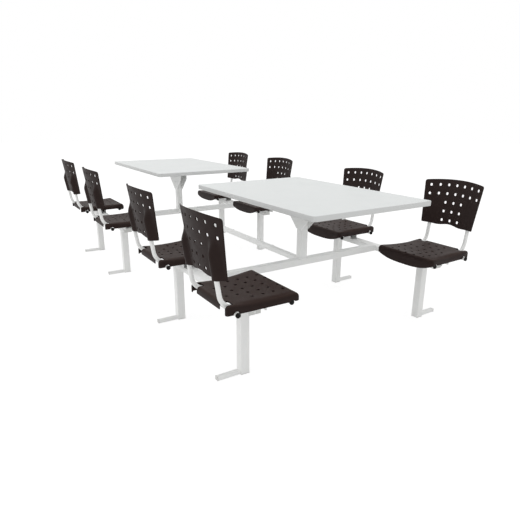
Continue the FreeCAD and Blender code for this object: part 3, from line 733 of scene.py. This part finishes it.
# %% [markdown]
# ## Seat shells
# The seat is a lid: a slightly dished pan that rolls down into a skirt all round. Its sides droop
# halfway along, so that thighs slide over them, and the front skirt hangs lower in the middle.
# Two notches at the back let the uprights through, and arches in the side skirts clear the plugs.
# The droop is added to pan, roll and wall alike, which keeps the skin smooth where they meet.

# %% Outline of the seat and of its pan
SEAT_FRONT, SEAT_REAR, SEAT_DEPTH = 390, 340, 348
FLARE = (SEAT_FRONT - SEAT_REAR) / 2 / SEAT_DEPTH
FRONT_CORNER, REAR_CORNER, PAN_CORNER = 15, 11, 2
NOSE, HEEL, SIDE_ROLL, NOSE_REACH = 26, 18, 12, 16
PAN_SHARES = (close_at_ends(30), close_at_ends(28))


def seat_corners(inset):
    """The seat's edge, seen from above, at a distance inside it."""
    front, rear, deep = SEAT_FRONT / 2 - inset, SEAT_REAR / 2 - inset, SEAT_DEPTH / 2 - inset
    return [((-rear, -deep), REAR_CORNER - inset), ((rear, -deep), REAR_CORNER - inset),
            ((front, deep), FRONT_CORNER - inset), ((-front, deep), FRONT_CORNER - inset)]


def pan_corners():
    """Where the pan ends and its rolls begin."""
    rear = SEAT_REAR / 2 + HEEL * FLARE - SIDE_ROLL
    front = SEAT_FRONT / 2 - NOSE_REACH * FLARE - SIDE_ROLL
    low, high = -SEAT_DEPTH / 2 + HEEL, SEAT_DEPTH / 2 - NOSE_REACH
    spots = ((-rear, low), (rear, low), (front, high), (-front, high))
    return [(spot, PAN_CORNER) for spot in spots]


print("pan", [round(2 * corner[0][0]) for corner in pan_corners()[1:3]], "mm wide, rear and front")

# %% Heights of pan, rolls and skirt
WALL, PAN, DISH = 4, 7, 7
DROOP, DROOP_BAND, DROOP_EASE, DROOP_END = 18, 34, 1.6, 165
ROLL_CHANGE, ROLL_EASE = 0.16, 0.7
SKIRT, SKIRT_FALL, REAR_SKIRT, REAR_HALF = 37, 4, 31, 130
LIP, LIP_HALF, SKIRT_TURN, SKIRT_EASE = 66, 193, 160, 10


def pan_height(x, y):
    """Top of the pan, dished in the middle."""
    across = x / (SEAT_FRONT / 2 - SIDE_ROLL)
    along = (y - (HEEL - NOSE_REACH) / 2) / ((SEAT_DEPTH - HEEL - NOSE_REACH) / 2)
    return -DISH * max(0, 1 - across ** 2) * max(0, 1 - along ** 2)


def droop(x, y):
    """How far the sides hang below the pan, most in the middle of their length."""
    half = (SEAT_FRONT + SEAT_REAR) / 4 + FLARE * y
    outward = max(0, abs(x) - half + DROOP_BAND) / DROOP_BAND
    return DROOP * outward ** DROOP_EASE * max(0, 1 - (y / DROOP_END) ** 2) ** 2


def roll_sizes():
    """Height of the roll at each point of a ring: tall in front, small at the sides."""
    rolls, sizes = (HEEL, SIDE_ROLL, NOSE, SIDE_ROLL), []
    for k, own in enumerate(rolls):
        for share in PAN_SHARES[k % 2][:-1]:
            near, other = (share, rolls[k - 1]) if share < 0.5 else (1 - share, rolls[(k + 1) % 4])
            eased = min(1, near / ROLL_CHANGE) ** ROLL_EASE
            sizes.append((own + other) / 2 * (1 - eased) + own * eased)
    return sizes


def skirt_bottom(x, y):
    """Bottom edge: high at the back, lower rearwards along the sides, bowed down in front."""
    if y < -SKIRT_TURN and abs(x) < REAR_HALF:
        return -REAR_SKIRT
    front = max(0, min(1, (y - SKIRT_TURN) / SKIRT_EASE))
    side = SKIRT - SKIRT_FALL * y / (SEAT_DEPTH / 2)
    return -side - front * (LIP - side) * max(0, 1 - abs(x / LIP_HALF) ** 3)


print("skirt", [round(-skirt_bottom(180, y), 1) for y in (150, 0, -150)], "mm deep at a side")


# %% Skin of the seat
def seat_parts():
    """Pan, rolls and skirt outside, the same inside, and the edge between them."""
    edge, sizes = ring_of(pan_corners(), PAN_SHARES), roll_sizes()
    loops = []
    for inner, under in ((0, 0), (WALL, PAN)):
        outside = ring_of(seat_corners(inner), PAN_SHARES)
        rings = []
        for step in range(8):
            angle = math.radians(90 * step / 7)
            ring = []
            for (ax, ay), (bx, by), size in zip(edge, outside, sizes):
                reach, fall = math.sin(angle), under + (size - under) * (1 - math.cos(angle))
                x, y = ax + (bx - ax) * reach, ay + (by - ay) * reach
                ring.append((x, y, pan_height(ax, ay) - fall - droop(x, y)))
            rings.append(ring)
        low = [(x, y, skirt_bottom(x, y)) for x, y in outside]
        rings += [[tuple((a + b) / 2 for a, b in zip(p, q)) for p, q in zip(rings[-1], low)], low]
        loops += rings if inner == 0 else rings[::-1]
    rows = patch_of(pan_corners(), PAN_SHARES)
    return in_metres([sheet(rows, lambda x, y: (x, y, pan_height(x, y) - droop(x, y))),
                      stacked_loops(loops),
                      sheet(rows, lambda x, y: (x, y, pan_height(x, y) - droop(x, y) - PAN))])


seat_pattern = mesh_of("seat_shell", seat_parts())
print("seat skin", len(seat_pattern.polygons), "faces")

# %% [markdown]
# ## Notches, arches and holes of the seat
# A mould has steel where the part has an opening, and here a closed shape stands for that steel.
# A rounded post cuts each notch, an arch on straight legs cuts the skirt round each plug, and the
# perforation tree then takes two grids out of the pan: four rows of five, and two of three behind.

# %% Shapes that cut the seat
NOTCH_HALF, NOTCH_CORNER, NOTCH_FRONT, NOTCH_BACK = 24 * MM, 7 * MM, -134 * MM, -230 * MM
CUT_LOW, CUT_HIGH = -100 * MM, 50 * MM
ARCH_HALF, ARCH_FOOT, ARCH_THROUGH = 13.5, -90, 16
ARCHES = ((190, 136), (174, -130))


def notch_skin(x):
    """Rounded post where an upright passes the rear of the seat."""
    return tube_skin((x - NOTCH_HALF, NOTCH_BACK, CUT_LOW), (x + NOTCH_HALF, NOTCH_FRONT, CUT_HIGH),
                     2, NOTCH_CORNER)


def arch_skin(x, y):
    """Arch through a side skirt, round a cross tube's end."""
    top = (CROSS_LEVEL - SEAT_LEVEL) / MM
    round_top = [(y - ARCH_HALF * math.cos(a), top + ARCH_HALF * math.sin(a))
                 for a in (math.radians(22.5 * k) for k in range(9))]
    profile = [(y - ARCH_HALF, ARCH_FOOT)] + round_top + [(y + ARCH_HALF, ARCH_FOOT)]
    ends = (x - ARCH_THROUGH, x + ARCH_THROUGH)
    loops = [[(at, py, pz) for py, pz in profile] for at in ends]
    return in_metres([stacked_loops(loops, (ends[0], y, top), (ends[1], y, top))])[0]


notches = [notch_skin(x) for x in (-UPRIGHT_X, UPRIGHT_X)]
arches = [arch_skin(side * x, y) for side in (-1, 1) for x, y in ARCHES]
seat_pattern = carve(seat_pattern, *notches, *arches)
print(len(notches), "notches and", len(arches), "arches")

# %% Holes of the seat
SEAT_HOLE, SEAT_PITCH, SEAT_BOW = 14, (54, 53), (14, 108)
for columns, rows, middle in ((5, 4, 77), (3, 2, -82)):
    seat_pattern = pierce(seat_pattern, columns, rows, SEAT_PITCH, SEAT_HOLE, (0, middle, 0),
                          SEAT_BOW)
smooth_by_angle(seat_pattern, SHELL_CREASE)
seat_pattern.transform(Matrix.Translation((0, 0, SEAT_LEVEL)))
at_each_seat(seat_pattern, "seat", shell_brown, "brown_plastic", "shell")

# %% [markdown]
# ## Back shells
# The back is a thin panel curved round the sitter, wider at its crowned top, with a shallow arch
# in the middle of its foot. Behind, the moulding swells into two long pods that take the
# uprights. The pods are only extra depth of the rear skin, so they blend in as in the real tool.

# %% Edge of the back, and its pods
BACK_TOP, BACK_FOOT, BACK_TALL, TOP_TRIM = 388, 342, 254, 1
FOOT_CORNER, TOP_CORNER, RIM = 6, 10, 2.4
BACK_CURVE, BACK_WALL, CROWN, ARCH, ARCH_WIDE = 460, 5, 20, 11, 160
POD_X, POD_FRONT, POD_BEHIND = 130, 17, 14.2
POD_WIDE, POD_TAPER, POD_TALL, POD_FADE_FROM, POD_FADE = 46, 18, 145, 100, 70
BACK_CENTRE = POD_FRONT + math.sqrt(BACK_CURVE ** 2 - POD_X ** 2)
BACK_SHARES = (close_at_ends(60), close_at_ends(34))


def back_corners(inset):
    """The panel's edge seen from the front, before its crown and arch, at a distance inside it."""
    foot, top, tall = BACK_FOOT / 2 - inset, BACK_TOP / 2 - inset - TOP_TRIM, BACK_TALL - inset
    return [((-foot, inset), FOOT_CORNER - inset), ((foot, inset), FOOT_CORNER - inset),
            ((top, tall), TOP_CORNER - inset), ((-top, tall), TOP_CORNER - inset)]


def pod_depth(x, z):
    """How far the rear skin swells round an upright: wide at the foot, gone above the pod."""
    wide = POD_WIDE - POD_TAPER * min(1, z / POD_TALL)
    over = max(0, 1 - ((abs(x) - POD_X) / wide) ** 2) ** 2
    end = min(1, max(0, (z - POD_FADE_FROM) / POD_FADE))
    return (POD_FRONT + POD_BEHIND - BACK_WALL) * over * (1 - end * end * (3 - 2 * end))


print("a pod is", round(BACK_WALL + pod_depth(POD_X, 0), 1), "mm deep at its foot")


# %% Skin of the back
def on_back(x, z, through):
    """A point of the curved panel: through is 0 on the front face and 1 on the rear face."""
    share = z / BACK_TALL
    arch = ARCH * math.cos(math.pi * x / ARCH_WIDE) ** 2 if abs(x) < ARCH_WIDE / 2 else 0
    level = z + arch * (1 - share) + CROWN * (1 - (2 * x / BACK_TOP) ** 2) * share
    depth = through * (BACK_WALL + pod_depth(x, z))
    swing = math.asin(x / BACK_CURVE)
    return (x, BACK_CENTRE - BACK_CURVE * math.cos(swing) - depth, level)


def back_parts():
    """Front face, round rim and rear face."""
    loops = []
    for step in range(7):
        angle = math.radians(30 * step)
        edge = ring_of(back_corners(RIM * (1 - math.sin(angle))), BACK_SHARES)
        loops.append([on_back(x, z, (1 - math.cos(angle)) / 2) for x, z in edge])
    rows = patch_of(back_corners(RIM), BACK_SHARES)
    return in_metres([sheet(rows, lambda x, z: on_back(x, z, 0)), stacked_loops(loops),
                      sheet(rows, lambda x, z: on_back(x, z, 1))])


back_pattern = mesh_of("back_shell", back_parts())
print("back skin", len(back_pattern.polygons), "faces")

# %% Holes of the back, and its lean
BACK_HOLE, BACK_PITCH, BACK_BOW = 15, (52, 52), (CROWN, BACK_TOP / 2)
for columns, rows, middle in ((7, 2, 215), (3, 3, 85)):
    back_pattern = pierce(back_pattern, columns, rows, BACK_PITCH, BACK_HOLE, (0, 0, middle),
                          BACK_BOW, upright=True)
smooth_by_angle(back_pattern, SHELL_CREASE)
tilt = Matrix.Translation((0, upright_y(BACK_LEVEL), BACK_LEVEL)) @ Matrix.Rotation(LEAN, 4, "X")
back_pattern.transform(tilt)
at_each_seat(back_pattern, "backrest", shell_brown, "brown_plastic", "back")

# %% [markdown]
# ## Finish on the solids that stay
# The boards, the brackets under them and the flat plugs in the tubes' ends are right as they
# are, so those solids keep their meshes and only get their finish.

# %% Finishes on kept solids
KEPT = {"tabletop": laminate, "top_bracket": steel_white, "end_plugs": plug_white}
for unit in UNITS:
    for suffix, material in KEPT.items():
        nodes[f"{unit}_{suffix}"].data.materials.clear()
        nodes[f"{unit}_{suffix}"].data.materials.append(material)
print(len(UNITS) * len(KEPT), "nodes keep their meshes")

# %% [markdown]
# ## Saddles and plugs
# Under each seat a strip of steel is folded to a channel and welded to rail and tubes. It is
# drawn as one bent section pushed along its length, with the small outside radii that a press
# brake leaves. The plugs on the cross tubes are turned shapes with a small dome.

# %% Saddles between rails and seat frames
SADDLE_SHEET, SADDLE_FOLD, WELD_SINK = 4 * MM, 5 * MM, 0.5 * MM


def saddle_skin(low, high, top):
    """Inverted channel that stands on the rail and carries the seat's two long tubes."""
    half, middle, fold = (high[1] - low[1]) / 2, (high[1] + low[1]) / 2, SADDLE_FOLD
    section = [(-half, low[2])]
    for step in range(5):
        angle = math.radians(180 - 22.5 * step)
        section.append((-half + fold + fold * math.cos(angle), top - fold + fold * math.sin(angle)))
    section += [(-y, z) for y, z in section[::-1]]
    inner, ceiling = half - SADDLE_SHEET, top - SADDLE_SHEET
    section += [(inner, low[2]), (inner, ceiling), (-inner, ceiling), (-inner, low[2])]
    count = len(section)
    points = [(x, middle + y, z) for x in (low[0], high[0]) for y, z in section]
    outside = count - 4
    faces = [[i, (i + 1) % count, count + (i + 1) % count, count + i] for i in range(count)]
    for base in (0, count):
        left, right = outside // 2 - 1, outside // 2
        faces.append([base + k for k in list(range(left + 1)) + [outside + 2, outside + 3]])
        faces.append([base + k for k in list(range(right, outside)) + [outside, outside + 1]])
        faces.append([base + k for k in (left, right, outside + 1, outside + 2)])
    return points, faces


top = UNDER_SEAT - ROD + WELD_SINK
for unit in UNITS:
    skins = [saddle_skin(low, high, top) for low, high in solids_in(f"{unit}_seat_plates")]
    piece(f"{unit}_saddles", mesh_of(f"{unit}_saddles", skins), steel_white, "white_steel",
          f"{unit}_seat_plates")
    print(unit, len(skins), "saddles", round((top - skins[0][0][0][2]) / MM, 1), "mm high")

# %% Plugs on the cross tubes
PLUG_PROFILE = ((0, 10.6), (0.6, 11.4), (4.5, 11.6), (6.5, 11.0), (8, 8.9), (8.8, 5.6), (9, 2.4))


def plug_skin(end, y):
    """Domed plug on one end of a cross tube, turned about the tube's axis."""
    loops, base, level = [], CROSS_END / MM, CROSS_LEVEL / MM
    for reach, radius in PLUG_PROFILE:
        turns = [math.radians(18 * step) for step in range(20)]
        loops.append([(end * (base + reach), y + radius * math.cos(a), level + radius * math.sin(a))
                      for a in turns])
    tip = base + PLUG_PROFILE[-1][0]
    return in_metres([stacked_loops(loops, (end * base, y, level), (end * tip, y, level))])[0]


plug_pattern = mesh_of("plugs", [plug_skin(end, y / MM) for end in (-1, 1) for y in CROSS_AT])
for unit in UNITS:
    together = bmesh.new()
    for seat, along, across in SEATS:
        mesh = plug_pattern.copy()
        mesh.transform(seat_place(unit, along, across))
        together.from_mesh(mesh)
    mesh = bpy.data.meshes.new(f"{unit}_plugs")
    together.to_mesh(mesh)
    together.free()
    smooth_by_angle(mesh)
    piece(f"{unit}_plugs", mesh, plug_black, "black_plastic", f"{unit}_rod_caps")
    print(unit, "plugs", len(mesh.polygons), "faces")

# %% [markdown]
# ## Weld beads
# Tubes that meet are joined by a fillet weld, and the bead softens the inside corners of the
# frame. A bead is a thin rod that lies along the joint, mostly sunk in the steel, so the tree
# that swept the seat tubes draws it too: only the paths are new, and closed ones go round.

# %% Paths of the beads
BEAD = 2.2 * MM


def round_section(low, high, level, axis=2):
    """Corners of the loop round a tube's section, at a level along its axis."""
    u, v = [k for k in range(3) if k != axis]
    corners = []
    for at_u, at_v in ((low, low), (high, low), (high, high), (low, high)):
        point = [0, 0, 0]
        point[u], point[v], point[axis] = at_u[u], at_v[v], level
        corners.append(tuple(point))
    return corners


def bead_paths(unit):
    """Closed loops round pedestals, post and tie, and open runs at the feet and the beam's ends."""
    closed, runs = [], []
    for number in (1, 2, 3, 4):
        low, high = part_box(f"{unit}_pedestal{number}")
        closed.append(round_section(low, high, high[2]))
    low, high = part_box(f"{unit}_table_post")
    closed.append(round_section(low, high, low[2]))
    low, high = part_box("tie_beam")
    closed.append(round_section(low, high, high[0] if unit == "unit1" else low[0], 0))
    low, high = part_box(f"{unit}_cross_beam")
    rail_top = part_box(f"{unit}_side_rail_left")[1][2]
    for y in (low[1], high[1]):
        runs += [[(x, y, low[2] + BEAD), (x, y, rail_top - BEAD)] for x in (low[0], high[0])]
    for low, high in solids_in(f"{unit}_foot_bars"):
        y = low[1] if low[1] > 0 else high[1]
        runs.append([(low[0], y, BEAD), (low[0], y, high[2]),
                     (high[0], y, high[2]), (high[0], y, BEAD)])
    return closed, runs


print(*(len(paths) for paths in bead_paths("unit1")), "closed and open paths")

# %% Weld beads
for unit in UNITS:
    closed, runs = bead_paths(unit)
    paths = path_mesh("bead_paths", [loop + loop[:1] for loop in closed] + runs)
    work = bmesh.new()
    work.from_mesh(paths)
    bmesh.ops.remove_doubles(work, verts=work.verts, dist=1e-6)
    work.to_mesh(paths)
    work.free()
    beads = grow(paths, tube_tree, Radius=BEAD, Bend=TUBE_CORNER, Material=steel_white)
    smooth_by_angle(beads)
    piece(f"{unit}_weld_beads", beads, steel_white, "white_steel")
    print(unit, len(closed) + len(runs), "beads,", len(beads.polygons), "faces")

# %% [markdown]
# ## Screws
# Six pan-head screws hold each angle to the underside of the board. They are all alike and stand
# in a row, which is work for a tree: it sets a flattened ball with a hexagon socket on each point
# of a row, and the angle's leg hides the upper half.

# %% Screw tree
KEY_SHARE, KEY_DROP = 0.42, -0.9
screw_tree, given, result = new_tree(
    "screws_on_points", ("Head", "Float", 0.0055), ("Flatness", "Float", 0.55),
    ("Material", "Material", None))
ball = add(screw_tree, "GeometryNodeMeshUVSphere", Segments=14, Rings=8, Radius=(given, "Head"))
key = add(screw_tree, "ShaderNodeMath", TIMES, _0=(given, "Head"), _1=KEY_SHARE)
socket = add(screw_tree, "GeometryNodeMeshCylinder", Vertices=6, Radius=(key, 0),
             Depth=(given, "Head"))
below = add(screw_tree, "ShaderNodeMath", TIMES, _0=(given, "Head"), _1=KEY_DROP)
lowered = add(screw_tree, "ShaderNodeCombineXYZ", Z=(below, 0))
sunk = add(screw_tree, "GeometryNodeTransform", Geometry=(socket, "Mesh"),
           Translation=(lowered, 0))
head = add(screw_tree, "GeometryNodeMeshBoolean", {"operation": "DIFFERENCE"},
           Mesh_1=(ball, "Mesh"))
screw_tree.links.new(sunk.outputs[0], head.inputs["Mesh 2"])
squash = add(screw_tree, "ShaderNodeCombineXYZ", X=1.0, Y=1.0, Z=(given, "Flatness"))
spots = add(screw_tree, "GeometryNodeInstanceOnPoints", Points=(given, "Geometry"),
            Instance=(head, "Mesh"), Scale=(squash, 0))
made = add(screw_tree, "GeometryNodeRealizeInstances", Geometry=(spots, "Instances"))
plated = add(screw_tree, "GeometryNodeSetMaterial", Geometry=(made, "Geometry"),
             Material=(given, "Material"))
screw_tree.links.new(plated.outputs[0], result.inputs[0])
print("screw tree of", len(screw_tree.nodes), "nodes")

# %% Screws under the tops
ANGLE_LEG, ANGLE_WALL = 30 * MM, 3 * MM
SCREW_HEAD, SCREW_FLATNESS = 5.5 * MM, 0.55
SCREW_ROW = [y * MM for y in (-250, -150, -50, 50, 150, 250)]
for unit in UNITS:
    low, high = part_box(f"{unit}_top_bracket")
    inward = (ANGLE_LEG - ANGLE_WALL) / 2
    rows = bpy.data.meshes.new("screw_rows")
    rows.from_pydata([(x, y, high[2] - ANGLE_WALL) for x in (low[0] + inward, high[0] - inward)
                      for y in SCREW_ROW], [], [])
    screws = grow(rows, screw_tree, Head=SCREW_HEAD, Flatness=SCREW_FLATNESS, Material=zinc)
    smooth_by_angle(screws)
    piece(f"{unit}_screws", screws, zinc, "white_steel")
    print(unit, len(rows.vertices), "screws,", len(screws.polygons), "faces")

# %% [markdown]
# ## Room and light
# A wide pale floor, an even white surround and two large soft lamps give the flat, shadow-poor
# light of a catalogue. The floor looks white but still takes a trace of shadow, because it mixes
# its own shading with plain white for the rays that come from the camera, a gloss or clear glass.

# %% Floor
scene = bpy.context.scene
scene.view_settings.view_transform = "Standard"
FLOOR_HALF = 20
WHITE_SHARE, WHITE_LEVEL = 0.6, 1.3


def seen_by_eye(tree):
    """Node that gives 1 for rays from the camera, a glossy bounce or clear glass, else 0."""
    rays = add(tree, "ShaderNodeLightPath")
    opaque = add(tree, "ShaderNodeMath", LARGER, _0=(rays, "Is Camera Ray"),
                 _1=(rays, "Is Glossy Ray"))
    return add(tree, "ShaderNodeMath", LARGER, _0=(opaque, 0), _1=(rays, "Is Transmission Ray"))


floor_mesh = bpy.data.meshes.new("floor")
floor_mesh.from_pydata([(x * FLOOR_HALF, y * FLOOR_HALF, 0)
                        for x, y in ((-1, -1), (1, -1), (1, 1), (-1, 1))], [], [[0, 1, 2, 3]])
floor = bpy.data.objects.new("floor", floor_mesh)
scene.collection.objects.link(floor)
floor_paint = bpy.data.materials.new("floor_paint")
floor_paint.use_nodes = True
tree = floor_paint.node_tree
tree.nodes.clear()
share = add(tree, "ShaderNodeMath", TIMES, _0=(seen_by_eye(tree), 0), _1=WHITE_SHARE)
pale = add(tree, "ShaderNodeBsdfDiffuse", Color=linear("#F2F2F2"))
white = add(tree, "ShaderNodeEmission", Color=(1, 1, 1, 1), Strength=WHITE_LEVEL)
blend = add(tree, "ShaderNodeMixShader", _0=(share, 0), _1=(pale, 0), _2=(white, 0))
add(tree, "ShaderNodeOutputMaterial", Surface=(blend, 0))
floor_mesh.materials.append(floor_paint)
floor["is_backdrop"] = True
print("floor", 2 * FLOOR_HALF, "m wide")

# %% Surround
FILL_LEVEL = 0.86
world = bpy.data.worlds.new("surround")
scene.world = world
world.use_nodes = True
tree = world.node_tree
tree.nodes.clear()
to_eye = seen_by_eye(tree)
fill = add(tree, "ShaderNodeBackground", Color=(1, 1, 1, 1), Strength=FILL_LEVEL)
seen = add(tree, "ShaderNodeBackground", Color=(1, 1, 1, 1), Strength=1.0)
blend = add(tree, "ShaderNodeMixShader", _0=(to_eye, 0), _1=(fill, 0), _2=(seen, 0))
add(tree, "ShaderNodeOutputWorld", Surface=(blend, 0))
print("surround", FILL_LEVEL, "on the object, 1 to the eye")

# %% Lamps
LAMPS_FACE = Vector((0, 0, 0.4))


def lamp(name, where, size, watts):
    """Large square lamp that faces the middle of the cluster."""
    data = bpy.data.lights.new(name, "AREA")
    data.size, data.energy = size, watts
    obj = bpy.data.objects.new(name, data)
    obj.location = where
    obj.rotation_euler = (LAMPS_FACE - Vector(where)).to_track_quat("-Z", "Y").to_euler()
    scene.collection.objects.link(obj)


lamp("overhead", (0.5, -0.6, 4.5), 4.0, 10)
lamp("left_of_camera", (-2.0, -4.5, 2.6), 2.5, 30)
print(len(bpy.data.lights), "lamps")

# %% Sizes
low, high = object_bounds()
print("visual", [round(b - a, 3) for a, b in zip(low, high)])
